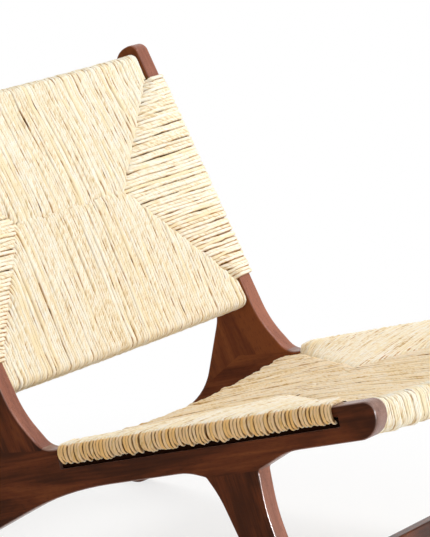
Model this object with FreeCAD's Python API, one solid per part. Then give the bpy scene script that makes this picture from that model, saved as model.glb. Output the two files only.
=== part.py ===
import FreeCAD, Part
import math
import os

from FreeCAD import Vector

# Low lounge chair: two flat hardwood side frames, four bowed rails and one low front stretcher,
# with a seat and a back wound with rush cord.
# Millimetres. The floor is Z = 0, the front of the chair is -Y and the sitter's right is -X.
# The origin is on the floor, in the middle of the chair's outline seen from above.

# Overall sizes; the overrun is how far a cutting shape runs past the wood
frame_width = 660.0
frame_depth = 800.0
plank_thickness = 30.0
edge_round = 4.0
overrun = 40.0
shortest_edge = 0.01

# The hip point is where the line of the seat and the line of the back cross.
hip_forward = 275.0
hip_height = 232.5
seat_slope = 15.7
back_lean = 29.1

# The inner corner of the hip is eased by a short flat between the back line and the seat line.
hip_flat_rise = 53.0
hip_flat_run = 22.0
hip_upper_round = 150.0
hip_lower_round = 30.0

# Seat rail and nose
rail_depth = 56.5
nose_depth = 48.0
nose_top_round = 17.0
nose_bottom_round = 30.0

# Front leg
toe_setback = 65.0
front_foot_length = 39.0
front_leg_low_rake = 24.0
front_leg_high_rake = 13.0
front_leg_knee_height = 209.0
front_leg_knee_round = 260.0
front_leg_back_low_rake = 29.9
front_leg_back_high_rake = 42.5
front_leg_calf_height = 219.0
front_leg_calf_round = 150.0
foot_round = 7.0

# Haunches that thicken the rail down to its joint with the front leg
leg_joint_drop = 66.0
haunch_slope = 20.0
haunch_round = 90.0
leg_corner_round = 6.0

# Rear leg
rear_foot_length = 46.0
rear_leg_back_slope = 45.0
rear_leg_front_slope = 32.7
rear_leg_front_round = 480.0
rear_toe_round = 32.0

# Back post
post_length = 506.0
post_top_depth = 47.0
post_back_lean = 26.9
post_wing_rise = 92.0
post_wing_forward_lean = 10.4
post_wing_upper_round = 60.0
post_wing_lower_round = 95.0
post_top_front_round = 15.0
post_top_back_round = 28.0
post_toe_setback = 17.0
post_joint_rise = 8.0
post_joint_run = 63.0
post_joint_slope = 43.0
post_heel_run = 72.0

# Slots that the cord passes through, behind a strip that it is wound on
strip_depth = 13.0
slot_height = 14.0
seat_slot_start = 45.0
nose_land = 55.0
back_slot_start = 123.0
post_top_land = 52.0

# Bowed rails between the side frames
rail_width = 30.0
seat_rail_height = 32.0
back_rail_height = 26.0
rail_round = 7.0
rail_bow = 15.0
rail_inset = 9.0
rail_to_slot = 2.0

# Front stretcher
stretcher_height = 88.0
stretcher_depth = 40.0
stretcher_thickness = 22.0
stretcher_lean = 10.0

# Dowels
rail_dowel_diameter = 8.0
rail_dowel_length = 36.0
rail_dowel_spacing = 14.0
rail_dowel_in_plank = 14.0
frame_dowel_diameter = 10.0
frame_dowel_length = 50.0
post_dowel_spacing = 38.0
post_dowel_setback = 37.0
leg_dowel_spacing = 30.0
hole_clearance = 0.1

# Rush weave
cord_thickness = 6.0
cord_clearance = 0.3
weave_middle_thickness = 34.0
weave_crown = 8.0
seat_seam_length = 174.0
back_seam_length = 300.0
weave_end_round = 12.0
weave_belly_round = 40.0
wrap_round = 9.0
seam_dip = 4.0
seam_half_width = 12.0

inner_half_width = frame_width / 2 - plank_thickness
across = Vector(1, 0, 0)


def direction(y, z):
    """Unit vector in the side plane."""
    return Vector(0, y, z).normalize()


def raked(angle):
    """Direction of an edge that rises and leans back by an angle from upright."""
    return direction(math.sin(math.radians(angle)), math.cos(math.radians(angle)))


def sloped(angle):
    """Direction of an edge that runs forward and climbs by an angle from level."""
    return direction(-math.cos(math.radians(angle)), math.sin(math.radians(angle)))


seat_along = sloped(seat_slope)
seat_up = raked(seat_slope)
back_along = raked(back_lean)
back_out = sloped(back_lean)
hip = Vector(0, frame_depth / 2 - hip_forward, hip_height)


def in_seat(along, up, x=0.0):
    """Point measured from the hip along the seat line, square to it and across the chair."""
    return hip + seat_along * along + seat_up * up + across * x


def in_back(along, out, x=0.0):
    """Point measured from the hip up the back line, square to it and across the chair."""
    return hip + back_along * along + back_out * out + across * x


def meet(point_a, along_a, point_b, along_b):
    """Point where two lines of the side plane cross."""
    gap = point_b - point_a
    cross = along_a.y * along_b.z - along_a.z * along_b.y
    return point_a + along_a * ((gap.y * along_b.z - gap.z * along_b.y) / cross)


def rounded_wire(corners):
    """Closed wire through (point, radius) corners, with a tangent arc at each rounded one."""
    count = len(corners)
    points = [point for point, radius in corners]
    to_next = [(points[(i + 1) % count] - points[i]).normalize() for i in range(count)]
    halves = [to_next[i].getAngle(to_next[i - 1] * -1) / 2 for i in range(count)]
    reaches = [corners[i][1] / math.tan(halves[i]) for i in range(count)]
    rooms = [points[i].distanceToPoint(points[(i + 1) % count]) for i in range(count)]
    fits = [min(1, rooms[i] / max(reaches[i] + reaches[(i + 1) % count], rooms[i]))
            for i in range(count)]
    starts = []
    middles = []
    ends = []
    for i in range(count):
        reach = reaches[i] * min(fits[i - 1], fits[i])
        radius = reach * math.tan(halves[i])
        inward = (to_next[i] - to_next[i - 1]).normalize()
        starts.append(points[i] - to_next[i - 1] * reach)
        middles.append(points[i] + inward * (radius / math.sin(halves[i]) - radius))
        ends.append(points[i] + to_next[i] * reach)
    edges = []
    for i in range(count):
        if corners[i][1] > 0:
            edges.append(Part.Arc(starts[i], middles[i], ends[i]).toShape())
        following = starts[(i + 1) % count]
        if not ends[i].isEqual(following, shortest_edge):
            edges.append(Part.LineSegment(ends[i], following).toShape())
    return Part.Wire(edges)


def slab(wire, x_start, x_end):
    """Solid between two upright planes, with the wire as its outline."""
    face = Part.Face(wire)
    face.translate(across * x_start)
    return face.extrude(across * (x_end - x_start))


def polygon(points):
    """Closed wire with sharp corners."""
    return Part.makePolygon(points + points[:1])


def both_sides(shape):
    """The left-hand shape and its mirror image on the right."""
    return shape, shape.mirror(Vector(0, 0, 0), across)


def dowel(centre, axis, diameter, length, spare):
    """Dowel about its middle; with some spare all round it is the hole that takes it."""
    start = centre - axis * (length / 2 + spare)
    return Part.makeCylinder(diameter / 2 + spare, length + 2 * spare, start, axis)


# Corners of a side frame's outline
nose_arc_y = -frame_depth / 2 + nose_bottom_round
nose_arc_drop = (nose_depth - nose_bottom_round) * seat_up.y
seat_line_length = nose_bottom_round + (hip.y - nose_arc_drop - nose_arc_y) / -seat_along.y
seat_slot_length = seat_line_length - seat_slot_start - nose_land
back_slot_length = post_length - back_slot_start - post_top_land
heel_overhang = foot_round / math.tan(math.radians(rear_leg_back_slope / 2)) - foot_round
heel = Vector(0, frame_depth / 2 + heel_overhang, 0)
rear_toe = heel - Vector(0, rear_foot_length, 0)
toe = Vector(0, toe_setback - frame_depth / 2, 0)
front_heel = toe + Vector(0, front_foot_length, 0)
front_low = raked(front_leg_low_rake)
back_low = raked(front_leg_back_low_rake)
knee = toe + front_low * (front_leg_knee_height / front_low.z)
calf = front_heel + back_low * (front_leg_calf_height / back_low.z)
nose_top = in_seat(seat_line_length, 0)
nose_bottom = in_seat(seat_line_length, -nose_depth)
rail_bottom = in_seat(0, -rail_depth)
leg_joint = in_seat(0, -leg_joint_drop)
leg_top_front = meet(leg_joint, seat_along, knee, raked(front_leg_high_rake))
leg_top_back = meet(leg_joint, seat_along, calf, raked(front_leg_back_high_rake))
front_haunch = meet(nose_bottom, seat_along, leg_top_front, sloped(seat_slope + haunch_slope))
back_haunch = meet(rail_bottom, seat_along, leg_top_back, sloped(seat_slope - haunch_slope))
rail_end = meet(rail_bottom, seat_along, rear_toe, sloped(rear_leg_front_slope))
post_top_front = in_back(post_length, 0)
post_top_back = in_back(post_length, -post_top_depth)
wing_top = meet(post_top_back, raked(post_back_lean), in_back(post_wing_rise, 0), back_out)
wing_bottom = meet(wing_top, raked(-post_wing_forward_lean), heel, sloped(rear_leg_back_slope))
hip_upper = in_back(hip_flat_rise, 0)
hip_lower = in_seat(hip_flat_run, 0)


def slot(place, start, length):
    """Long opening behind the strip that the side cords are wound on."""
    outline = polygon([
        place(start, -strip_depth),
        place(start + length, -strip_depth),
        place(start + length, -strip_depth - slot_height),
        place(start, -strip_depth - slot_height),
    ])
    return slab(outline, inner_half_width - overrun, frame_width / 2 + overrun)


def whole_side_frame():
    """Rail, rear leg, post and front leg of the left side as one eased and slotted plank."""
    outline = rounded_wire([
        (nose_top, nose_top_round),
        (nose_bottom, nose_bottom_round),
        (front_haunch, haunch_round),
        (leg_top_front, leg_corner_round),
        (knee, front_leg_knee_round),
        (toe, foot_round),
        (front_heel, foot_round),
        (calf, front_leg_calf_round),
        (leg_top_back, leg_corner_round),
        (back_haunch, haunch_round),
        (rail_end, rear_leg_front_round),
        (rear_toe, rear_toe_round),
        (heel, foot_round),
        (wing_bottom, post_wing_lower_round),
        (wing_top, post_wing_upper_round),
        (post_top_back, post_top_back_round),
        (post_top_front, post_top_front_round),
        (hip_upper, hip_upper_round),
        (hip_lower, hip_lower_round),
    ])
    plank = slab(outline, inner_half_width, frame_width / 2)
    rims = [edge for edge in plank.Edges if edge.BoundBox.XLength < edge_round]
    plank = plank.makeFillet(edge_round, rims)
    seat_slot = slot(in_seat, seat_slot_start, seat_slot_length)
    back_slot = slot(in_back, back_slot_start, back_slot_length)
    return plank.cut(seat_slot).cut(back_slot)


def post_region():
    """Space above the joint where the post stands on the seat rail and the rear leg."""
    flat = (hip_upper - hip_lower).normalize()
    curve_start = hip_lower + seat_along * (hip_lower_round / math.tan(flat.getAngle(seat_along) / 2))
    joint_bend = in_seat(-post_joint_run, post_joint_rise)
    joint_toe = curve_start + (joint_bend - curve_start).normalize() * post_toe_setback
    joint_heel = joint_bend - sloped(post_joint_slope) * post_heel_run
    joint_back = joint_heel + raked(post_joint_slope) * overrun
    behind = heel.y + overrun
    top_z = post_top_front.z + overrun
    outline = polygon([
        joint_toe,
        joint_bend,
        joint_heel,
        joint_back,
        Vector(0, behind, joint_back.z),
        Vector(0, behind, top_z),
        Vector(0, joint_toe.y, top_z),
    ])
    return slab(outline, inner_half_width - overrun, frame_width / 2 + overrun)


leg_joint_middle = (leg_top_front + leg_top_back) * 0.5


def front_leg_region():
    """Space below the joint where the front leg meets the seat rail."""
    joint_front = leg_top_front + seat_along * overrun
    joint_back = leg_top_back - seat_along * overrun
    outline = polygon([
        joint_front,
        joint_back,
        Vector(0, joint_back.y, -overrun),
        Vector(0, toe.y - overrun, -overrun),
        Vector(0, toe.y - overrun, joint_front.z),
    ])
    return slab(outline, inner_half_width - overrun, frame_width / 2 + overrun)


# Bow of the rails: a circle through both ends and the middle of a rail's face
bow_radius = (inner_half_width ** 2 + rail_bow ** 2) / (2 * rail_bow)
bow_angle = math.degrees(math.asin((inner_half_width + overrun) / bow_radius))
bow_middle = -rail_inset - rail_bow


def bowed(face, place, along):
    """Solid that a section sweeps along the bow, cut square between the side frames."""
    centre = place(0, bow_middle + bow_radius)
    turned = face.copy()
    turned.rotate(centre, along, -bow_angle)
    solid = turned.revolve(centre, along, 2 * bow_angle)
    box = solid.BoundBox
    size = box.DiagonalLength
    room = Part.makeBox(2 * inner_half_width, size, size,
                        Vector(-inner_half_width, box.Center.y - size / 2, box.Center.z - size / 2))
    return solid.common(room)


def rail_section(place, start, height, spare=0.0):
    """Rounded section of a rail in the side plane, grown by a spare width for its channel."""
    low = bow_middle - height - spare
    high = bow_middle + spare
    radius = rail_round + spare
    return rounded_wire([
        (place(start - spare, low), radius),
        (place(start + rail_width + spare, low), radius),
        (place(start + rail_width + spare, high), radius),
        (place(start - spare, high), radius),
    ])


def rail_starts(slot_start, slot_length):
    """Where the rails at the near and far end of a slot begin."""
    return slot_start - rail_to_slot - rail_width, slot_start + slot_length + rail_to_slot


seat_rear_start, seat_front_start = rail_starts(seat_slot_start, seat_slot_length)
back_bottom_start, back_top_start = rail_starts(back_slot_start, back_slot_length)


def rail(place, along, start, height):
    return bowed(Part.Face(rail_section(place, start, height)), place, along)


rail_dowel_x = inner_half_width + rail_dowel_in_plank - rail_dowel_length / 2
rail_dowel_offsets = (-rail_dowel_spacing / 2, rail_dowel_spacing / 2)


def rail_dowel(centre, spare):
    return dowel(centre, across, rail_dowel_diameter, rail_dowel_length, spare)


def rail_dowels(place, start, height, spare):
    """Two dowels at the left end of a rail."""
    middle = start + rail_width / 2
    level = -rail_inset - height / 2
    return [rail_dowel(place(middle + offset, level, rail_dowel_x), spare)
            for offset in rail_dowel_offsets]


def leg_middle(z):
    """Middle of the front leg's width at a height below its knee."""
    front = toe + front_low * (z / front_low.z)
    back = front_heel + back_low * (z / back_low.z)
    return (front + back) * 0.5


def stretcher_place(along, out, x=0.0):
    """Point measured from the stretcher's middle up its leaning face and square to it."""
    up = raked(stretcher_lean)
    return leg_middle(stretcher_height) + up * along + sloped(stretcher_lean) * out + across * x


def stretcher():
    half_depth = stretcher_depth / 2
    half_thickness = stretcher_thickness / 2
    outline = rounded_wire([
        (stretcher_place(-half_depth, -half_thickness), edge_round),
        (stretcher_place(half_depth, -half_thickness), edge_round),
        (stretcher_place(half_depth, half_thickness), edge_round),
        (stretcher_place(-half_depth, half_thickness), edge_round),
    ])
    return slab(outline, -inner_half_width, inner_half_width)


def stretcher_dowels(spare):
    """Two dowels at the left end of the stretcher."""
    return [rail_dowel(stretcher_place(offset, 0, rail_dowel_x), spare)
            for offset in rail_dowel_offsets]


def left_rail_dowels(spare):
    """All dowels at the left ends of the four rails and the stretcher."""
    dowels = stretcher_dowels(spare)
    for place, height, starts in (
        (in_seat, seat_rail_height, (seat_rear_start, seat_front_start)),
        (in_back, back_rail_height, (back_bottom_start, back_top_start)),
    ):
        for start in starts:
            dowels += rail_dowels(place, start, height, spare)
    return dowels


plank_middle_x = inner_half_width + plank_thickness / 2


def frame_dowel(centre, axis, spare):
    return dowel(centre, axis, frame_dowel_diameter, frame_dowel_length, spare)


def post_dowels(spare):
    """Two dowels square to the seat line, across the joint under the left post."""
    return [frame_dowel(in_seat(offset - post_dowel_setback, post_joint_rise / 2, plank_middle_x),
                        seat_up, spare)
            for offset in (-post_dowel_spacing / 2, post_dowel_spacing / 2)]


def leg_dowels(spare):
    """Two dowels across the joint over the left front leg."""
    middle = leg_joint_middle + across * plank_middle_x
    return [frame_dowel(middle + seat_along * offset, seat_up, spare)
            for offset in (-leg_dowel_spacing / 2, leg_dowel_spacing / 2)]


def bow_level(x):
    """Level of a rail's bowed face at a distance from the middle of the chair."""
    return bow_middle + bow_radius - math.sqrt(bow_radius ** 2 - x ** 2)


def weave_body(place, along, slot_start, slot_length, height):
    """Layers between the rails, with the channels that the rails lie in."""
    near, far = rail_starts(slot_start, slot_length)
    middle = slot_start + slot_length / 2
    top = bow_middle + cord_thickness
    crown = top + weave_crown
    bottom = bow_middle - height - cord_thickness
    outline = rounded_wire([
        (place(near - cord_thickness, top), weave_end_round),
        (place(middle - seam_half_width, crown), 0),
        (place(middle, crown - seam_dip), 0),
        (place(middle + seam_half_width, crown), 0),
        (place(far + rail_width + cord_thickness, top), weave_end_round),
        (place(far + rail_width + cord_thickness, bottom), weave_end_round),
        (place(far - cord_thickness, bottom), weave_end_round),
        (place(middle, crown - weave_middle_thickness), weave_belly_round),
        (place(near + rail_width + cord_thickness, bottom), weave_end_round),
        (place(near - cord_thickness, bottom), weave_end_round),
    ])
    channels = [rail_section(place, start, height, cord_clearance) for start in (near, far)]
    face = Part.makeFace([outline] + channels, "Part::FaceMakerBullseye")
    return bowed(face, place, along)


def facet_plan(place, up, slot_start, slot_length, seam_length):
    """Upright space of the facets whose cords run over the rails, pinched at both apexes."""
    near, far = rail_starts(slot_start, slot_length)
    edge_x = inner_half_width - cord_clearance
    apex_x = seam_length / 2
    start = slot_start + cord_clearance
    end = slot_start + slot_length - cord_clearance
    middle = slot_start + slot_length / 2
    half_height = rail_bow + seat_rail_height + overrun
    plan = polygon([
        place(near - overrun, -half_height, -edge_x),
        place(near - overrun, -half_height, edge_x),
        place(start, -half_height, edge_x),
        place(middle, -half_height, apex_x),
        place(end, -half_height, edge_x),
        place(far + rail_width + overrun, -half_height, edge_x),
        place(far + rail_width + overrun, -half_height, -edge_x),
        place(end, -half_height, -edge_x),
        place(middle, -half_height, -apex_x),
        place(start, -half_height, -edge_x),
    ])
    return Part.Face(plan).extrude(up * (2 * half_height))


def side_facet(place, slot_start, slot_length, seam_length):
    """Wedge of cords that run from the left side strip in to the apex."""
    start = slot_start + cord_clearance
    end = slot_start + slot_length - cord_clearance
    middle = slot_start + slot_length / 2
    edge_x = inner_half_width - cord_clearance
    apex_x = seam_length / 2
    high = cord_thickness
    low = -strip_depth - cord_thickness
    apex_crown = bow_level(apex_x) + cord_thickness + weave_crown
    apex_high = apex_crown - seam_dip
    apex_low = apex_crown - weave_middle_thickness
    near_low = place(start, low, edge_x)
    near_high = place(start, high, edge_x)
    far_low = place(end, low, edge_x)
    far_high = place(end, high, edge_x)
    apex_bottom = place(middle, apex_low, apex_x)
    apex_top = place(middle, apex_high, apex_x)
    faces = [
        [near_low, near_high, far_high, far_low],
        [near_high, far_high, apex_top],
        [near_low, far_low, apex_bottom],
        [near_low, near_high, apex_top, apex_bottom],
        [far_low, far_high, apex_top, apex_bottom],
    ]
    shell = Part.makeShell([Part.Face(polygon(points)) for points in faces])
    return Part.Solid(shell)


def side_wrap(place, slot_start, slot_length):
    """Cords that turn round the left side strip, out over it and back through the slot."""
    start = slot_start + cord_clearance
    end = slot_start + slot_length - cord_clearance
    inner_x = inner_half_width - cord_clearance
    outer_x = frame_width / 2 + cord_thickness
    high = cord_thickness
    low = -strip_depth - cord_thickness
    outside = rounded_wire([
        (place(start, low, inner_x), 0),
        (place(start, high, inner_x), 0),
        (place(start, high, outer_x), wrap_round),
        (place(start, low, outer_x), wrap_round),
    ])
    inside = polygon([
        place(start, -strip_depth - cord_clearance, inner_x),
        place(start, cord_clearance, inner_x),
        place(start, cord_clearance, frame_width / 2 + cord_clearance),
        place(start, -strip_depth - cord_clearance, frame_width / 2 + cord_clearance),
    ])
    run = place(end, 0) - place(start, 0)
    return Part.Face(outside).extrude(run).cut(Part.Face(inside).extrude(run))


def weave(place, along, up, slot_start, slot_length, seam_length, height):
    body = weave_body(place, along, slot_start, slot_length, height)
    body = body.common(facet_plan(place, up, slot_start, slot_length, seam_length))
    facets = both_sides(side_facet(place, slot_start, slot_length, seam_length))
    wraps = both_sides(side_wrap(place, slot_start, slot_length))
    return body.fuse(list(facets + wraps)).removeSplitter()


# Side frames, split at their joints
frame = whole_side_frame()
above_joint = post_region()
below_joint = front_leg_region()
post = frame.common(above_joint)
front_leg = frame.common(below_joint)
side_rail = frame.cut(above_joint).cut(below_joint)


def mirrored(left_shapes):
    """All shapes of the left side and their mirror images."""
    return [shape for pair in map(both_sides, left_shapes) for shape in pair]


left_rail_holes = left_rail_dowels(hole_clearance)
left_frame_holes = left_rail_holes + post_dowels(hole_clearance) + leg_dowels(hole_clearance)
rail_holes = mirrored(left_rail_holes)

nodes = {
    "seat_rear_rail": rail(in_seat, seat_along, seat_rear_start, seat_rail_height).cut(rail_holes),
    "seat_front_rail": rail(in_seat, seat_along, seat_front_start, seat_rail_height).cut(rail_holes),
    "back_bottom_rail": rail(in_back, back_along, back_bottom_start, back_rail_height).cut(rail_holes),
    "back_top_rail": rail(in_back, back_along, back_top_start, back_rail_height).cut(rail_holes),
    "front_stretcher": stretcher().cut(rail_holes),
    "seat_weave": weave(in_seat, seat_along, seat_up, seat_slot_start, seat_slot_length,
                        seat_seam_length, seat_rail_height),
    "back_weave": weave(in_back, back_along, back_out, back_slot_start, back_slot_length,
                        back_seam_length, back_rail_height),
    "rail_dowels": Part.makeCompound(mirrored(left_rail_dowels(0))),
    "post_dowels": Part.makeCompound(mirrored(post_dowels(0))),
    "leg_dowels": Part.makeCompound(mirrored(leg_dowels(0))),
}
for name, piece in (("side_rail", side_rail), ("back_post", post), ("front_leg", front_leg)):
    left, right = both_sides(piece.cut(left_frame_holes))
    nodes[name + "_left"] = left
    nodes[name + "_right"] = right

box = Part.makeCompound(list(nodes.values())).optimalBoundingBox(False, False)
centring = Vector(0, -box.Center.y, 0)
os.makedirs("parts", exist_ok=True)
for name, shape in nodes.items():
    shape.translate(centring)
    shape.exportStep("parts/" + name + ".step")
    print(name, "solids", len(shape.Solids), "valid", shape.isValid(), "volume", round(shape.Volume))
print("moved back by", round(centring.y, 2), "seat line", round(seat_line_length, 1))
print("box", box)
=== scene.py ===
import math

import bmesh
import bpy
import mathutils
import numpy as np
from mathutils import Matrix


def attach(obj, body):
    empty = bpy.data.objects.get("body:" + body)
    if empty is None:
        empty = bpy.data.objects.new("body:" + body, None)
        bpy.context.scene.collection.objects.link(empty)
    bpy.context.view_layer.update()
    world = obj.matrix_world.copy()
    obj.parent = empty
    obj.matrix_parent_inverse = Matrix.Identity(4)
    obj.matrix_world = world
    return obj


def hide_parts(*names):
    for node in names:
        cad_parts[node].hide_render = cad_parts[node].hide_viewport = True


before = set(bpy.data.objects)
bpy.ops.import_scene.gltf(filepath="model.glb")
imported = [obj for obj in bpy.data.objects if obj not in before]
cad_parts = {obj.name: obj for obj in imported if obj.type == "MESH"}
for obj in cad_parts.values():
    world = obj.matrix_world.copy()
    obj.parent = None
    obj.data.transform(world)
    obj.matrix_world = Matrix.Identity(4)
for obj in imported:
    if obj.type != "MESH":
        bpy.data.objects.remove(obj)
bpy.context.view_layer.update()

mm = 0.001

# Side frames. Each side is a long board for the seat rail and the rear leg, a back post and a
# front leg. They are dark hardwood planks, sawn with the grain along each board, joined with
# glued dowels, eased at every edge and given a satin varnish.
hardwood_shades = [
    (0.00, (0.028, 0.0075, 0.0025, 1)),
    (0.35, (0.066, 0.0165, 0.0045, 1)),
    (0.60, (0.125, 0.0300, 0.0085, 1)),
    (1.00, (0.230, 0.0650, 0.0180, 1)),
]
# Paler shades for the side frames' narrow faces: painted light and sheen.
lit_edge_shades = [
    (0.00, (0.210, 0.0650, 0.0350, 1)),
    (0.40, (0.310, 0.1070, 0.0590, 1)),
    (0.70, (0.360, 0.1300, 0.0740, 1)),
    (1.00, (0.440, 0.1850, 0.1150, 1)),
]
rail_lit_edge_shades = [
    (0.00, (0.170, 0.0850, 0.0620, 1)),
    (0.50, (0.290, 0.1600, 0.1220, 1)),
    (1.00, (0.400, 0.2500, 0.2000, 1)),
]
leg_lit_edge_shades = [
    (0.00, (0.220, 0.0700, 0.0360, 1)),
    (0.50, (0.440, 0.1650, 0.0980, 1)),
    (1.00, (0.600, 0.2600, 0.1650, 1)),
]
figure_width = 34 * mm
figure_length = 180 * mm
figure_swirl = 0.7
streak_width = 3 * mm
streak_length = 90 * mm
pore_width = 0.5 * mm
pore_length = 11 * mm
pore_depth = 0.12 * mm
grain_detail = 3
pore_detail = 1
figure_contrast = 2.1
streak_contrast = 0.5
tone_drop = 0.93
pore_span = (0.3, 0.44)
pore_shade_share = 0.5
pore_relief_share = 0.6
streak_relief_share = 0.4
narrow_face_span = (0.75, 0.3)
varnish_roughness = 0.5
varnish_smoothing = 0.12
varnish_gloss = 0.07
paler_share = 0.58
edge_gloss = 0.42
edge_polish = 0.18
across_chair = math.radians(90)


class Value:
    """One output in a finish; arithmetic on it adds Math nodes."""

    def __init__(self, finish, socket):
        self.finish = finish
        self.socket = socket

    def math(self, operation, first, second):
        return self.finish.node("ShaderNodeMath", {"operation": operation}, {0: first, 1: second})

    def __add__(self, other):
        return self.math("ADD", self, other)

    def __sub__(self, other):
        return self.math("SUBTRACT", self, other)

    def __rsub__(self, other):
        return self.math("SUBTRACT", other, self)

    def __mul__(self, other):
        return self.math("MULTIPLY", self, other)

    __radd__ = __add__
    __rmul__ = __mul__


class Finish:
    """A material, its shader and the nodes that feed it."""

    def __init__(self, name):
        self.material = bpy.data.materials.new(name)
        self.material.use_nodes = True
        self.tree = self.material.node_tree
        self.shader = self.tree.nodes["Principled BSDF"]

    def join(self, socket, value):
        if isinstance(value, Value):
            self.tree.links.new(value.socket, socket)
        else:
            socket.default_value = value

    def node(self, kind, settings, sockets, output=0):
        made = self.tree.nodes.new(kind)
        for name, setting in settings.items():
            if name == "stops":
                points = made.color_ramp.elements
                while len(points) < len(setting):
                    points.new(1)
                for point, (position, colour) in zip(points, setting):
                    point.position = position
                    point.color = colour
            else:
                setattr(made, name, setting)
        for name, value in sockets.items():
            self.join(made.inputs[name], value)
        return Value(self, made.outputs[output])

    def coordinates(self, kind):
        return self.node("ShaderNodeTexCoord", {}, {}, kind)

    def part(self, vector, axis):
        return self.node("ShaderNodeSeparateXYZ", {}, {"Vector": vector}, axis)

    def noise(self, where, scale, detail, swirl=0):
        sockets = {"Vector": where, "Scale": scale, "Detail": detail, "Distortion": swirl}
        return self.node("ShaderNodeTexNoise", {}, sockets)

    def between(self, value, start, end):
        """0 up to the start value, 1 from the end one on, and smooth from one to the other. The
        start may be the higher of the two."""
        return self.node("ShaderNodeMapRange", {"interpolation_type": "SMOOTHSTEP"},
                         {"Value": value, "From Min": start, "From Max": end})

    def blend(self, share, first, second):
        """The first colour where the share is 0 and the second one where it is 1."""
        return self.node("ShaderNodeMix", {"data_type": "RGBA"}, {0: share, 6: first, 7: second}, 2)

    def surface(self, **sockets):
        for name, value in sockets.items():
            self.join(self.shader.inputs[name.replace("_", " ")], value)

    def relief(self, height, depth):
        sockets = {"Height": height, "Distance": depth}
        self.surface(Normal=self.node("ShaderNodeBump", {}, sockets))


def hardwood(name, turn, shades, edge_shades, paler=0):
    """Varnished wood with its grain along a board's own Y, turned as the board lies. The narrow
    faces, square to the broad ones, have shades of their own, painted paler on the side frames
    as painted light and sheen.
    A paler board has its broad faces moved up the shades by the given share."""
    finish = Finish(name)
    place = finish.coordinates("Object")

    def grain(width, length, detail, swirl=0):
        sockets = {"Vector": place, "Rotation": turn, "Scale": (width, length, width)}
        along = finish.node("ShaderNodeMapping", {"vector_type": "TEXTURE"}, sockets)
        return finish.noise(along, 1, detail, swirl)

    figure = grain(figure_width, figure_length, grain_detail, figure_swirl)
    streaks = grain(streak_width, streak_length, grain_detail)
    pores = grain(pore_width, pore_length, pore_detail)
    tone = figure * figure_contrast + streaks * streak_contrast - tone_drop
    broad = finish.node("ShaderNodeValToRGB", {"stops": shades}, {"Fac": tone + paler})
    # The narrow faces take their own shades, which on the side frames are painted light and sheen.
    narrow = finish.node("ShaderNodeValToRGB", {"stops": edge_shades}, {"Fac": tone})
    sideways = finish.part(finish.coordinates("Normal"), "X")
    edge = finish.between(sideways * sideways, *narrow_face_span)
    colour = finish.blend(edge, broad, narrow)
    between_pores = finish.between(pores, *pore_span)
    full_colour = between_pores * pore_shade_share + (1 - pore_shade_share)
    finish.surface(Base_Color=finish.blend(full_colour, shades[0][1], colour),
                   Roughness=varnish_roughness - varnish_smoothing * between_pores,
                   Specular_IOR_Level=varnish_gloss, Coat_Weight=edge * edge_gloss,
                   Coat_Roughness=edge_polish)
    finish.relief(between_pores * pore_relief_share + streaks * streak_relief_share, pore_depth)
    return finish.material


def dress(node, material):
    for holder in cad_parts[node].material_slots:
        holder.material = material


# Slopes of the grain in degrees, and the shades of each board's narrow faces, painted paler as
# painted light and sheen.
rail_slope = -15.7
post_slope = 62.5
leg_slope = 69.0
boards = {
    "side_rail": (rail_slope, rail_lit_edge_shades),
    "back_post": (post_slope, lit_edge_shades),
    "front_leg": (leg_slope, leg_lit_edge_shades),
}
for board, (slope, edge_shades) in boards.items():
    for side_name, paler in (("left", paler_share), ("right", 0)):
        node = f"{board}_{side_name}"
        dress(node, hardwood(node + "_wood", (math.radians(slope), 0, 0), hardwood_shades,
                             edge_shades, paler))


# Cross pieces. Four bowed rails and one low stretcher tie the side frames together. They are cut
# from the same wood with the grain across the chair, and dowelled between the frames.
cross_wood = hardwood("cross_wood", (0, 0, across_chair), hardwood_shades, hardwood_shades)
for crosspiece in ("seat_front_rail", "seat_rear_rail", "back_top_rail", "back_bottom_rail",
                   "front_stretcher"):
    dress(crosspiece, cross_wood)


# Dowels. Pale bare wood pins across the joints of the side frames and at the ends of the cross
# pieces. They are turned and glued in, with nothing of them in sight.
dowel_shades = [
    (0.00, (0.24, 0.13, 0.055, 1)),
    (0.50, (0.42, 0.27, 0.13, 1)),
    (1.00, (0.56, 0.39, 0.21, 1)),
]
dowel_wood = hardwood("dowel_wood", (0, 0, across_chair), dowel_shades, dowel_shades)
for pins in ("rail_dowels", "post_dowels", "leg_dowels"):
    dress(pins, dowel_wood)


# Woven seat. Twisted rush cord is wound over the front and rear rails and, through the slots,
# over the side rails. It meets on a mitre from each corner and on a seam across the middle.
# Dark fibre is stuffed between its layers; its darkness is painted shade between the cords. A
# near-black block in each slot is a painted shadow.
inner_half_width = 300 * mm
outer_half_width = 330 * mm
outer_face = 328 * mm
rail_width = 30 * mm
rail_to_slot = 2 * mm
rail_face_drop = 24 * mm
bow_radius = 3007.5 * mm
strip_depth = 13 * mm
cord_radius = 3.2 * mm
cord_pitch = 5.3 * mm
cord_sides = 8
turn_round = 9 * mm
turn_angle = 90
turn_points = 4
straight_up = 90
straight_out = 0
weave_crown = 8 * mm
crown_bend = 2
under_bend = 1.4
side_upper_bend = 1.6
side_lower_bend = 1.3
middle_under_drop = 17 * mm
seam_dip = 1.2 * mm
seam_reach = 6 * mm
end_tuck = 4 * mm
seam_tuck = 0.7 * mm
tuck_reach = 4 * mm
end_scatter = 1.5 * mm
end_overlap = 1.4 * mm
end_spacing_scatter_share = 0.08
end_sway = 1.2 * mm
end_thickness_share = 1.04
side_thickness_share = 0.98
girth_scatter_share = 0.06
girth_along_scatter_share = 0.07
girth_limit_shares = (0.85, 1.15)
wander_waves = (1.5, 3.5, 6.5)
wave_spread_shares = (0.7, 1.3)
core_depth = 2.4 * mm
core_stations = 61
core_rows = 49
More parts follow.
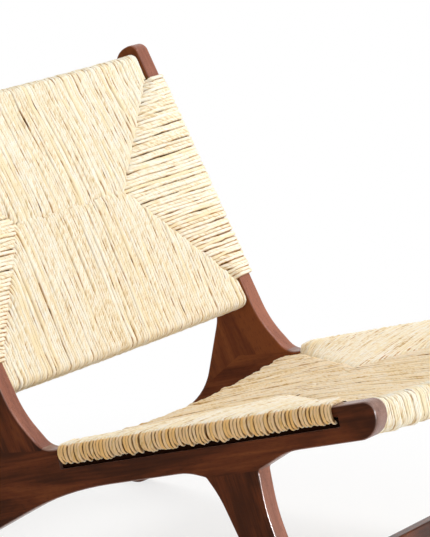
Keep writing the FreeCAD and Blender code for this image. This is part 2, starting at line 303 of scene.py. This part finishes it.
# Size of the near-black block in each slot, a painted shadow.
slot_shadow_top = 16 * mm
slot_shadow_bottom = 26.7 * mm
slot_shadow_inset = 3 * mm
slot_shadow_cuts = 9
slot_shadow_crumple = 0.6 * mm
slot_shadow_round = 0.5 * mm
slot_shadow_seed = 5
hip = np.array((0, 120.56, 232.5)) * mm
seat_along = (0, -0.96269, 0.27060)
seat_up = (0, 0.27060, 0.96269)
seat_slot = (45 * mm, 484 * mm)
seat_rail_height = 32 * mm
seat_seam = 266 * mm
seat_apex = 87 * mm
seat_left_lift = 4.5 * mm
seat_sway = 0.85 * mm
# Strength of the painted shade between the end cords, between the side cords, and low down.
seat_gap_shade_shares = (0.06, 0.22, 0)
# Painted tan: warm bounce light painted on the seat's cords, weaker on its side cords, whose strip
# tops catch more light.
seat_painted_tan_share = 0.22
side_painted_tan_share = 0.25
seat_mottle = 1.3
seat_seed = 11
lower_span = (490 * mm, 370 * mm)
# The painted tan begins just behind the seat's front edge.
painted_tan_front = (-375 * mm, -355 * mm)
level_sway = 0.9 * mm
seat_level_scatter = 0.55 * mm
wrap_scatter_share = 0.065
wrap_end_gap = 1.5 * mm
wrap_drop = 5.5 * mm
least_drop_share = 0.15
wrap_lead_share = 0.25
lead_steepness = 3
rush_shades = [
    (0.00, (0.60, 0.420, 0.200, 1)),
    (0.20, (0.82, 0.660, 0.410, 1)),
    (0.40, (0.93, 0.830, 0.635, 1)),
    (0.60, (0.95, 0.885, 0.745, 1)),
    (1.00, (0.96, 0.930, 0.870, 1)),
]
rush_shift = 0.07
rush_roughness = 0.75
fibre_scales = (60, 6, 90)
fibre_detail = 3
fibre_span = (0.3, 0.7)
fibre_share = 0.45
patch_scales = (22, 60, 0.6)
patch_middle = 0.5
gap_scales = (34, 80, 5)
gap_detail = 2
area_scale = 7
area_share = 0.12
cord_tone_share = 0.35
golden_rush = (0.90, 0.70, 0.33, 1)
gold_share = 0.5
gold_span = (0.56, 0.70)
gold_patch_share = 0.6
gold_cord_share = 0.4
crest_share = 0.5
# Painted shade between the cords: the flanks of each cord are darkened in patches, on every outer
# wrap, and more low down on the back.
valley_span = (0.007, 0.020)
gap_shade_span = (0.5, 0.62)
gap_shade_share = 0.6
outer_gap_shade_loss_share = 0.2
outer_gap_shade_share = 0.5
open_gap_span = (0.64, 0.74)
open_gap_shade_share = 0.25
shaded_rush = (0.52, 0.25, 0.045, 1)
deep_shade_rush = (0.16, 0.06, 0.012, 1)
# Tan of the outer wraps, partly their own weathered colour and partly painted warm bounce light in
# the shade; the seat's painted tan blends to it too.
weathered_and_bounce_rush = (0.96, 0.54, 0.15, 1)
weathered_and_bounce_share = 0.34
weathered_and_bounce_cord_share = 0.3
weathered_and_bounce_patch_share = 0.3
# The stuffing's dark colour is painted shade seen between the cords.
stuffing_painted_shade_colours = ((0.05, 0.020, 0.006, 1), (0.16, 0.070, 0.020, 1))
# Near-black shades of the slot blocks, a painted shadow.
slot_shadow_shades = ((0.006, 0.002, 0.001, 1), (0.022, 0.008, 0.004, 1))
crumple_scale = 300
stuffing_roughness = 0.9
twist_length = 26 * mm
fibre_relief = 0.7 * mm


class Panel:
    """The wound seat or back. Across is X, along goes from one end rail to the other, and up
    is towards the sitter."""

    def __init__(self, along, up, slot, seam, rail_height, apex):
        self.along = np.array(along)
        self.up = np.array(up)
        self.slot = slot
        self.seam = seam
        self.rail_height = rail_height
        self.apex = apex
        self.turn = np.sign(np.cross((1, 0, 0), self.along) @ self.up)

    def place(self, across, along, up):
        point = hip + along[..., None] * self.along + up[..., None] * self.up
        point[..., 0] = across
        return point

    def bow(self, across):
        return bow_radius - rail_face_drop - np.sqrt(bow_radius ** 2 - across ** 2)

    def half(self, along):
        """Length of the slot from the seam to its end on this side of the seam."""
        return np.where(along < self.seam, self.seam - self.slot[0], self.slot[1] - self.seam)

    def from_seam(self, along):
        """0 at the seam and 1 where a rail begins."""
        return np.clip(np.abs(along - self.seam) / (self.half(along) + rail_to_slot), 0, 1)

    def upper(self, across, along):
        """Level of the middle of the upper end cords."""
        crown = weave_crown * (1 - self.from_seam(along) ** crown_bend)
        dip = seam_dip * np.exp(-((along - self.seam) / seam_reach) ** 2)
        return self.bow(across) + cord_radius + crown - dip

    def lower(self, across, along):
        """Level of the middle of the lower end cords."""
        at_rail = self.rail_height + cord_radius
        swell = (at_rail - middle_under_drop) * (1 - self.from_seam(along) ** under_bend)
        return self.bow(across) - at_rail + swell

    def mitre(self, along):
        """How far from the middle of the chair the mitre is, at a place along the panel."""
        share = np.clip(1 - np.abs(along - self.seam) / self.half(along), 0, 1)
        return inner_half_width - (inner_half_width - self.apex) * share

    def side_upper(self, across, along):
        """Level of the upper side cords, which fall a little faster towards the mitre."""
        mitre = self.mitre(along)
        room = np.maximum(inner_half_width - mitre, rail_to_slot)
        share = np.clip((np.abs(across) - mitre) / room, 0, 1)
        low = self.upper(mitre, along)
        return low + (cord_radius - low) * (1 - (1 - share) ** side_upper_bend)

    def side_lower(self, across, along):
        """Level of the lower side cords, which sag from the slot to the mitre."""
        mitre = self.mitre(along)
        room = np.maximum(inner_half_width - mitre, rail_to_slot)
        share = np.clip((np.abs(across) - mitre) / room, 0, 1)
        high = -strip_depth - cord_radius
        apex_level = self.lower(self.apex, np.array(self.seam))
        depth = (inner_half_width - mitre) / (inner_half_width - self.apex)
        return high + (apex_level - high) * depth * (1 - share) ** side_lower_bend


def quarter_turn(centre_out, centre_up, start):
    """Points of a quarter turn as distances out and up, turning down from the start angle."""
    angles = np.radians(np.linspace(start, start - turn_angle, turn_points))
    return centre_out + turn_round * np.cos(angles), centre_up + turn_round * np.sin(angles)


# Where the points of a cord lie on its run, close together where it comes out of the mitre.
run_shares = np.array((0, 0.02, 0.05, 0.1, 0.17, 0.25, 0.33, 0.42, 0.5, 0.58, 0.67, 0.75, 0.83,
                       0.92, 1))


def end_cords(panel, direction, across, starts):
    """Lines of the cords from the mitre or the seam, round an end rail and back underneath."""
    half = float(panel.half(panel.seam + direction * cord_radius))
    past_apex = (np.abs(across) - panel.apex) / (inner_half_width - panel.apex)
    mitre = half * np.clip(past_apex, 0, 1)
    depth = np.where(mitre > 0, end_tuck, seam_tuck)[:, None]
    reach = (mitre + starts)[:, None]
    across = across[:, None]
    rail_start = half + rail_to_slot
    out = reach + (rail_start - reach) * run_shares
    along = panel.seam + direction * out
    tuck = depth * np.exp(-(out - reach) / tuck_reach)
    upper = panel.upper(across, along) - tuck
    lower = panel.lower(across, along) + tuck
    face = panel.bow(across) + cord_radius
    back = face - panel.rail_height - 2 * cord_radius
    edge = rail_start + rail_width + cord_radius - turn_round
    top_out, top_up = quarter_turn(edge, face - turn_round, straight_up)
    low_out, low_up = quarter_turn(edge, back + turn_round, straight_out)
    wide = np.ones_like(across)
    out = np.hstack((out, wide * top_out, wide * low_out, out[:, ::-1]))
    up = np.hstack((upper, top_up, low_up, lower[:, ::-1]))
    return panel.place(across * np.ones_like(out), panel.seam + direction * out, up)


def side_cords(panel, side, along, lead, lift, drop):
    """Lines of the cords from a mitre, over a side strip and back through the slot. The lead is
    how far they slant along the panel on the way, the lift how loosely they lie over the strip,
    and the drop how far each hangs below it."""
    along = along[:, None]
    drop = drop[:, None]
    mitre = panel.mitre(along)
    run = mitre + (inner_half_width - mitre) * run_shares
    tuck = end_tuck * np.exp(-(run - mitre) / tuck_reach)
    upper = panel.side_upper(run, along) - tuck + lift * run_shares
    lower = panel.side_lower(run, along) + tuck
    edge = outer_half_width + cord_radius - turn_round
    top_out, top_up = quarter_turn(edge, lift + cord_radius - turn_round, straight_up)
    floor_level = -strip_depth - cord_radius
    low_out, low_up = quarter_turn(edge, floor_level + turn_round, straight_out)
    wide = np.ones_like(along)
    out = np.hstack((run, wide * top_out, wide * low_out, run[:, ::-1]))
    up = np.hstack((upper, wide * top_up, low_up - drop, lower[:, ::-1]))
    slant = lead * np.clip(np.linspace(-1, 1, out.shape[1]) * lead_steepness, -1, 1)
    return panel.place(side * out, along + slant, up)


def uneven(luck, lines, sideways, sway):
    """Cords never lie quite straight: each wanders a little to its sides."""
    count, points = lines.shape[:2]
    path = np.linspace(0, 1, points)
    for waves in wander_waves:
        turns = waves * luck.uniform(*wave_spread_shares, (count, 1)) * path
        turns = turns + luck.uniform(0, 1, (count, 1))
        shift = sway / waves * np.sin(2 * np.pi * turns)
        lines = lines + shift[..., None] * np.array(sideways)
    return lines


def rush_piece(name, mesh, material):
    """The finished piece of a mesh, with its faces turned outwards."""
    shape = bmesh.new()
    shape.from_mesh(mesh)
    bmesh.ops.recalc_face_normals(shape, faces=shape.faces)
    shape.to_mesh(mesh)
    shape.free()
    mesh.materials.append(material)
    piece = bpy.data.objects.new(name, mesh)
    bpy.context.scene.collection.objects.link(piece)
    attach(piece, "root")
    return piece


def cord_mesh(name, luck, lines, sideways, thickness, material):
    """One mesh of closed tubes along the lines, with a tone for each cord and a UV map whose U
    runs along the cord in metres and whose V runs round it from its hidden side."""
    count, points = lines.shape[:2]
    sideways = np.array(sideways, float)
    ahead = np.gradient(lines, axis=1)
    ahead /= np.linalg.norm(ahead, axis=2, keepdims=True)
    outward = np.cross(sideways, ahead)
    outward /= np.linalg.norm(outward, axis=2, keepdims=True)
    steps = np.linalg.norm(np.diff(lines, axis=1), axis=2)
    run = np.hstack((np.zeros((count, 1)), np.cumsum(steps, axis=1)))
    girth = luck.normal(1, girth_scatter_share, (count, 1))
    girth = girth * luck.normal(1, girth_along_scatter_share, (count, points))
    radius = cord_radius * thickness * np.clip(girth, *girth_limit_shares)
    angles = 2 * np.pi * (np.arange(cord_sides) / cord_sides)
    ring = (-np.cos(angles)[:, None] * outward[:, :, None] + np.sin(angles)[:, None] * sideways)
    vertices = lines[:, :, None] + radius[..., None, None] * ring
    index = np.arange(count * points * cord_sides).reshape(count, points, cord_sides)
    following = np.roll(index, -1, axis=2)
    quads = np.stack((index[:, :-1], index[:, 1:], following[:, 1:], following[:, :-1]), -1)
    mesh = bpy.data.meshes.new(name)
    caps = np.vstack((index[:, 0], index[:, -1, ::-1]))
    mesh.from_pydata(vertices.reshape(-1, 3).tolist(), [],
                     quads.reshape(-1, 4).tolist() + caps.tolist())
    round_start = np.arange(cord_sides) / cord_sides
    round_end = round_start + 1 / cord_sides
    u_start, u_end = run[:, :-1, None], run[:, 1:, None]
    flat = np.ones((count, points - 1, cord_sides))
    corner_u = np.stack((u_start * flat, u_end * flat, u_end * flat, u_start * flat), -1)
    corner_v = np.stack((round_start * flat, round_start * flat, round_end * flat,
                         round_end * flat), -1)
    corners = np.stack((corner_u, corner_v), -1).reshape(-1, 2)
    cap_corners = np.zeros((caps.size, 2))
    uv = mesh.uv_layers.new(name="cord")
    uv.data.foreach_set("uv", np.vstack((corners, cap_corners)).astype(np.float32).ravel())
    tone = mesh.attributes.new("cord_tone", "FLOAT", "POINT")
    tones = np.repeat(luck.uniform(0, 1, count), points * cord_sides)
    tone.data.foreach_set("value", tones.astype(np.float32))
    mesh.polygons.foreach_set("use_smooth", np.ones(len(mesh.polygons), bool))
    return rush_piece(name, mesh, material)


def rush(name, painted_tan, mottle, gap_shade, lower_gap_shade):
    """Twisted plant fibre: pale straw with golden and brown lengths and a lay of fine fibres.
    The tan share is how far the cords behind the seat's front edge are tinted tan, a painted
    warm light bounced between the cords; mottle is how much the lengths differ; and the two gap
    values are how dark the painted shade is in the lines between the cords, and how much darker
    it is low down."""
    finish = Finish(name)
    place = finish.coordinates("Object")
    tone = finish.node("ShaderNodeAttribute", {"attribute_name": "cord_tone"}, {}, "Fac")
    cord_map = finish.node("ShaderNodeUVMap", {"uv_map": "cord"}, {})
    along = finish.part(cord_map, "X")
    around = finish.part(cord_map, "Y")
    lay = around + along * (1 / twist_length)

    def pattern(values, scales, detail):
        scaled = [value * scale for value, scale in zip(values, scales)]
        where = finish.node("ShaderNodeCombineXYZ", {}, dict(enumerate(scaled)))
        return finish.noise(where, 1, detail)

    fibres = pattern((along, lay, tone), fibre_scales, fibre_detail)
    patches = pattern((along, tone, around), patch_scales, fibre_detail)
    gaps = pattern((along, tone, 1), gap_scales, gap_detail)
    area = finish.noise(place, area_scale, gap_detail)
    out = finish.part(place, "X")
    forward = finish.part(place, "Y")
    height = finish.part(place, "Z")
    outer_side = finish.between(out * out, outer_face ** 2, (outer_face + cord_radius) ** 2)
    shade = finish.between(fibres, *fibre_span) * fibre_share + (patches - patch_middle) * mottle
    shade = shade + area * area_share + tone * cord_tone_share + rush_shift
    colour = finish.node("ShaderNodeValToRGB", {"stops": rush_shades}, {"Fac": shade})
    gold = finish.between(patches * gold_patch_share + tone * gold_cord_share, *gold_span)
    colour = finish.blend(gold * gold_share, colour, golden_rush)
    # Painted light: a warm tan from bounce light, over the seat behind its front edge.
    painted_bounce_tan = finish.between(forward, *painted_tan_front) * painted_tan
    # On the outer wraps the tan is partly weathering and partly painted bounce light and shade.
    weathered_and_bounce = weathered_and_bounce_share + tone * weathered_and_bounce_cord_share + patches * weathered_and_bounce_patch_share
    colour = finish.blend(outer_side * (weathered_and_bounce - painted_bounce_tan) + painted_bounce_tan, colour, weathered_and_bounce_rush)
    # Painted shade: the flanks of the cords darken in the lines between them, deepest near black.
    off_crest = around - crest_share
    valley = finish.between(off_crest * off_crest, *valley_span)
    painted_gap_shade = finish.between(gaps, *gap_shade_span) * (gap_shade_share - outer_gap_shade_loss_share * outer_side)
    painted_gap_shade = painted_gap_shade + outer_side * outer_gap_shade_share + gap_shade + finish.between(height, *lower_span) * lower_gap_shade
    open_gap = finish.between(gaps, *open_gap_span)
    deepest_shade = finish.blend(outer_side + open_gap, shaded_rush, deep_shade_rush)
    colour = finish.blend(valley * (painted_gap_shade + open_gap * open_gap_shade_share), colour, deepest_shade)
    finish.surface(Base_Color=colour, Roughness=rush_roughness, Specular_IOR_Level=0)
    finish.relief(fibres, fibre_relief)
    return finish.material


def stuffing(name, shades):
    """Crumpled fibre in dark shades: painted shade where it shows between the cords, and a painted
    shadow in the slots.
    """
    finish = Finish(name)
    crumple = finish.noise(finish.coordinates("Object"), crumple_scale, fibre_detail)
    finish.surface(Base_Color=finish.blend(crumple, *shades), Roughness=stuffing_roughness,
                   Specular_IOR_Level=0)
    finish.relief(crumple, fibre_relief)
    return finish.material


def stuffing_mesh(name, panel, material):
    """Closed body just under the cords, from the middle of one end rail to that of the other."""
    stations = np.linspace(-inner_half_width, inner_half_width, core_stations)[:, None]
    reach = rail_to_slot + rail_width / 2
    along = np.linspace(panel.slot[0] - reach, panel.slot[1] + reach, core_rows)[None, :]
    outside = np.abs(stations) > panel.mitre(along)
    upper = np.where(outside, panel.side_upper(stations, along), panel.upper(stations, along))
    lower = np.where(outside, panel.side_lower(stations, along), panel.lower(stations, along))
    wide = stations * np.ones_like(along)
    top = panel.place(wide, along * np.ones_like(wide), upper - core_depth)
    bottom = panel.place(wide, along * np.ones_like(wide), lower + core_depth)
    loops = np.concatenate((top, bottom[:, ::-1]), axis=1)
    rows, columns = loops.shape[:2]
    index = np.arange(rows * columns).reshape(rows, columns)
    following = np.roll(index, -1, axis=1)
    quads = np.stack((index[:-1], following[:-1], following[1:], index[1:]), -1)
    mesh = bpy.data.meshes.new(name)
    mesh.from_pydata(loops.reshape(-1, 3).tolist(), [],
                     quads.reshape(-1, 4).tolist() + [index[0].tolist(), index[-1, ::-1].tolist()])
    return rush_piece(name, mesh, material)


def spread(luck, start, end, scatter_share):
    """Places of the cords from start to end, a pitch apart with a little unevenness."""
    count = round((end - start) / cord_pitch)
    places = start + (end - start) * (np.arange(count) + 0.5) / count
    return places + luck.normal(0, scatter_share * cord_pitch, count)


stuffing_finish = stuffing("stuffing", stuffing_painted_shade_colours)
# The slot blocks' near-black finish, a painted shadow.
slot_shadow_finish = stuffing("slot_shadow_block", slot_shadow_shades)


def slot_shadow_block(name, panel, side, material):
    """A near-black block in a slot under the cords that pass through it: a painted shadow."""
    bpy.ops.object.select_all(action="DESELECT")
    bpy.ops.mesh.primitive_cube_add(size=1)
    piece = bpy.context.object
    piece.name = name
    level = -(slot_shadow_top + slot_shadow_bottom) / 2
    centre = panel.place(0.0, np.array(sum(panel.slot) / 2), np.array(level))
    centre[0] = side * (inner_half_width + outer_half_width) / 2
    size = (outer_half_width - inner_half_width - 2 * slot_shadow_inset,
            panel.slot[1] - panel.slot[0] - 2 * slot_shadow_inset, slot_shadow_bottom - slot_shadow_top)
    upright = np.stack((np.cross(panel.along, panel.up), panel.along, panel.up), 1)
    place = np.eye(4)
    place[:3, :3] = upright * size
    place[:3, 3] = centre
    piece.data.transform(mathutils.Matrix(place.tolist()))
    bpy.ops.object.mode_set(mode="EDIT")
    bpy.ops.mesh.select_all(action="SELECT")
    bpy.ops.mesh.subdivide(number_cuts=slot_shadow_cuts)
    bpy.ops.transform.vertex_random(offset=slot_shadow_crumple, seed=slot_shadow_seed)
    bpy.ops.mesh.bevel(offset=slot_shadow_round, segments=1)
    bpy.ops.mesh.normals_make_consistent(inside=False)
    bpy.ops.object.mode_set(mode="OBJECT")
    piece.data.materials.append(material)
    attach(piece, "root")
    return piece


def wind(name, panel, end_names, seed, left_lift, sway, level_scatter, painted_tan, mottle, gaps):
    """All cords of one panel, and the stuffing between their layers. The left lift is how loosely
    the cords lie over the left side, the sway how far the side cords wander along the panel, the
    level scatter how much the end cords differ in level, and the gaps how dark the painted shade
    is in the lines between the end cords, between the side cords, and more so between the side
    cords low down."""
    luck = np.random.default_rng(seed)
    end_gap_shade, side_gap_shade, lower_gap_shade = gaps
    end_finish = rush(name + "_end_rush", painted_tan, mottle, end_gap_shade, 0)
    side_finish = rush(name + "_side_rush", painted_tan * side_painted_tan_share, mottle, side_gap_shade, lower_gap_shade)
    pieces = [stuffing_mesh(name + "_stuffing", panel, stuffing_finish),
              slot_shadow_block(name + "_packing_right", panel, -1, slot_shadow_finish),
              slot_shadow_block(name + "_packing_left", panel, 1, slot_shadow_finish)]
    for end_name, direction in zip(end_names, (-1, 1)):
        across = spread(luck, rail_to_slot - inner_half_width, inner_half_width - rail_to_slot,
                        end_spacing_scatter_share)
        starts = luck.normal(-end_overlap, end_scatter, len(across))
        lines = end_cords(panel, direction, across, starts)
        levels = luck.normal(0, level_scatter, len(across))
        lines = lines + levels[:, None, None] * panel.up
        lines = uneven(luck, lines, (1, 0, 0), end_sway)
        lines = uneven(luck, lines, panel.up, level_sway)
        pieces.append(cord_mesh(f"{name}_cords_{end_name}", luck, lines,
                                (direction * panel.turn, 0, 0), end_thickness_share,
                                end_finish))
    for side_name, side, lift in (("right", -1, 0), ("left", 1, left_lift)):
        first, last = panel.slot
        along = spread(luck, first + cord_radius + wrap_end_gap, last - cord_radius - wrap_end_gap,
                       wrap_scatter_share)
        drop = luck.uniform(least_drop_share * wrap_drop, wrap_drop, len(along))
        lines = side_cords(panel, side, along, wrap_lead_share * cord_pitch, lift, drop)
        lines = uneven(luck, lines, panel.along, sway)
        lines = uneven(luck, lines, panel.up, level_sway / 2)
        pieces.append(cord_mesh(f"{name}_cords_{side_name}", luck, lines,
                                -side * panel.turn * panel.along, side_thickness_share,
                                side_finish))
    for piece in pieces:
        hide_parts(name + "_weave")


seat = Panel(seat_along, seat_up, seat_slot, seat_seam, seat_rail_height, seat_apex)
wind("seat", seat, ("rear", "front"), seat_seed, left_lift=seat_left_lift, sway=seat_sway,
     level_scatter=seat_level_scatter, painted_tan=seat_painted_tan_share, mottle=seat_mottle, gaps=seat_gap_shade_shares)


# Woven back. The same rush cord is wound like the seat, round the two back rails and through the
# slots of the posts. Its seam lies a little above the middle of the slots.
back_along = (0, 0.48634, 0.87377)
back_up = (0, -0.87377, 0.48634)
back_slot = (123 * mm, 454 * mm)
back_rail_height = 26 * mm
back_seam = 300 * mm
back_apex = 133 * mm
back_sway = 1.1 * mm
# Strength of the painted shade between the end cords, between the side cords, and low down.
back_gap_shade_shares = (0.05, 0.10, 0.5)
back_mottle = 0.3
back_seed = 23
back = Panel(back_along, back_up, back_slot, back_seam, back_rail_height, back_apex)
wind("back", back, ("bottom", "top"), back_seed, left_lift=0, sway=back_sway, level_scatter=0,
     painted_tan=0, mottle=back_mottle, gaps=back_gap_shade_shares)


# Floor. A plain white studio floor that keeps a soft shadow of the chair, and turns into an even
# white further off.
floor_half = 20
floor_white = (0.93, 0.925, 0.915, 1)
floor_roughness = 0.9
pure_white = (1, 1, 1, 1)
near_glow_share = 0.73
glow_start = 0.45
glow_end = 0.95
bpy.ops.object.select_all(action="DESELECT")
bpy.ops.mesh.primitive_plane_add(size=2 * floor_half, location=(0, 0, 0))
floor = bpy.context.object
floor.name = "floor"
floor_finish = Finish("floor_paint")
floor_finish.surface(Base_Color=floor_white, Roughness=floor_roughness, Specular_IOR_Level=0)
floor_distance = floor_finish.node("ShaderNodeVectorMath", {"operation": "LENGTH"},
                                   {0: floor_finish.coordinates("Object")}, "Value")
far_share = floor_finish.between(floor_distance, glow_start, glow_end)
seen = floor_finish.node("ShaderNodeLightPath", {}, {}, "Is Camera Ray")
mirrored = floor_finish.node("ShaderNodeLightPath", {}, {}, "Is Glossy Ray")
glow = floor_finish.node("ShaderNodeEmission", {}, {"Color": pure_white, "Strength": 1})
lit = Value(floor_finish, floor_finish.shader.outputs[0])
glow_share = (seen + mirrored) * (near_glow_share + (1 - near_glow_share) * far_share)
paint = floor_finish.node("ShaderNodeMixShader", {}, {0: glow_share, 1: lit, 2: glow})
floor_finish.join(floor_finish.tree.nodes["Material Output"].inputs["Surface"], paint)
floor.data.materials.append(floor_finish.material)


# Studio light. A white surrounding, one large soft lamp high at the front left of the chair, and a
# weaker one low in front for the legs and the eased edges under the seat. A tall narrow lamp is
# only mirrored: it puts thin glints on the rounded edges.
surrounding_strength = 0.53
middle = (0, 0, 0.35)
lamps = {
    "front_lamp": (99, 2.0, 2.0, (1.3, -2.05, 3.7), middle, True),
    "low_lamp": (36, 1.4, 1.4, (2.2, -3.4, 1.2), middle, True),
    "glint_lamp": (640, 0.25, 1.2, (-1.8, -2.9, 1.0), middle, False),
}
world = bpy.data.worlds.new("studio")
bpy.context.scene.world = world
world.use_nodes = True
background = world.node_tree.nodes["Background"]
light_path = world.node_tree.nodes.new("ShaderNodeLightPath")
shown = world.node_tree.nodes.new("ShaderNodeMath")
shown.operation = "MAXIMUM"
shown_through = world.node_tree.nodes.new("ShaderNodeMath")
shown_through.operation = "MAXIMUM"
strength = world.node_tree.nodes.new("ShaderNodeMapRange")
strength.inputs["To Min"].default_value = surrounding_strength
world.node_tree.links.new(light_path.outputs["Is Camera Ray"], shown.inputs[0])
world.node_tree.links.new(light_path.outputs["Is Glossy Ray"], shown.inputs[1])
world.node_tree.links.new(shown.outputs[0], shown_through.inputs[0])
world.node_tree.links.new(light_path.outputs["Is Transmission Ray"], shown_through.inputs[1])
world.node_tree.links.new(shown_through.outputs[0], strength.inputs["Value"])
world.node_tree.links.new(strength.outputs[0], background.inputs["Strength"])
background.inputs["Color"].default_value = pure_white


def aimed(piece, place, target):
    """Puts a lamp or camera into the scene, pointing at the target with its top upright."""
    piece.location = place
    away = np.array(place) - np.array(target)
    across = math.hypot(away[0], away[1])
    piece.rotation_euler = (math.atan2(across, away[2]), 0, math.atan2(away[0], -away[1]))
    bpy.context.scene.collection.objects.link(piece)


for lamp_name, (power, width, height, lamp_place, lamp_aim, lights_all) in lamps.items():
    lamp = bpy.data.lights.new(lamp_name, "AREA")
    lamp.energy = power
    lamp.shape = "RECTANGLE"
    lamp.size = width
    lamp.size_y = height
    holder = bpy.data.objects.new(lamp_name, lamp)
    holder.visible_diffuse = lights_all
    aimed(holder, lamp_place, lamp_aim)


# Camera. It stands at the chair's front right, a little above it, and looks down on the seat. Its
# lens is long, so that the side frames stay nearly parallel.
camera_place = (-4.0227, -2.4755, 1.5026)
camera_target = (0.4882, 0.3420, 0.3000)
camera_lens = 237.5
camera_film = 36
lens = bpy.data.cameras.new("camera")
lens.lens = camera_lens
lens.sensor_width = camera_film
camera = bpy.data.objects.new("camera", lens)
aimed(camera, camera_place, camera_target)
bpy.context.scene.camera = camera
bpy.context.scene.view_settings.view_transform = "Standard"
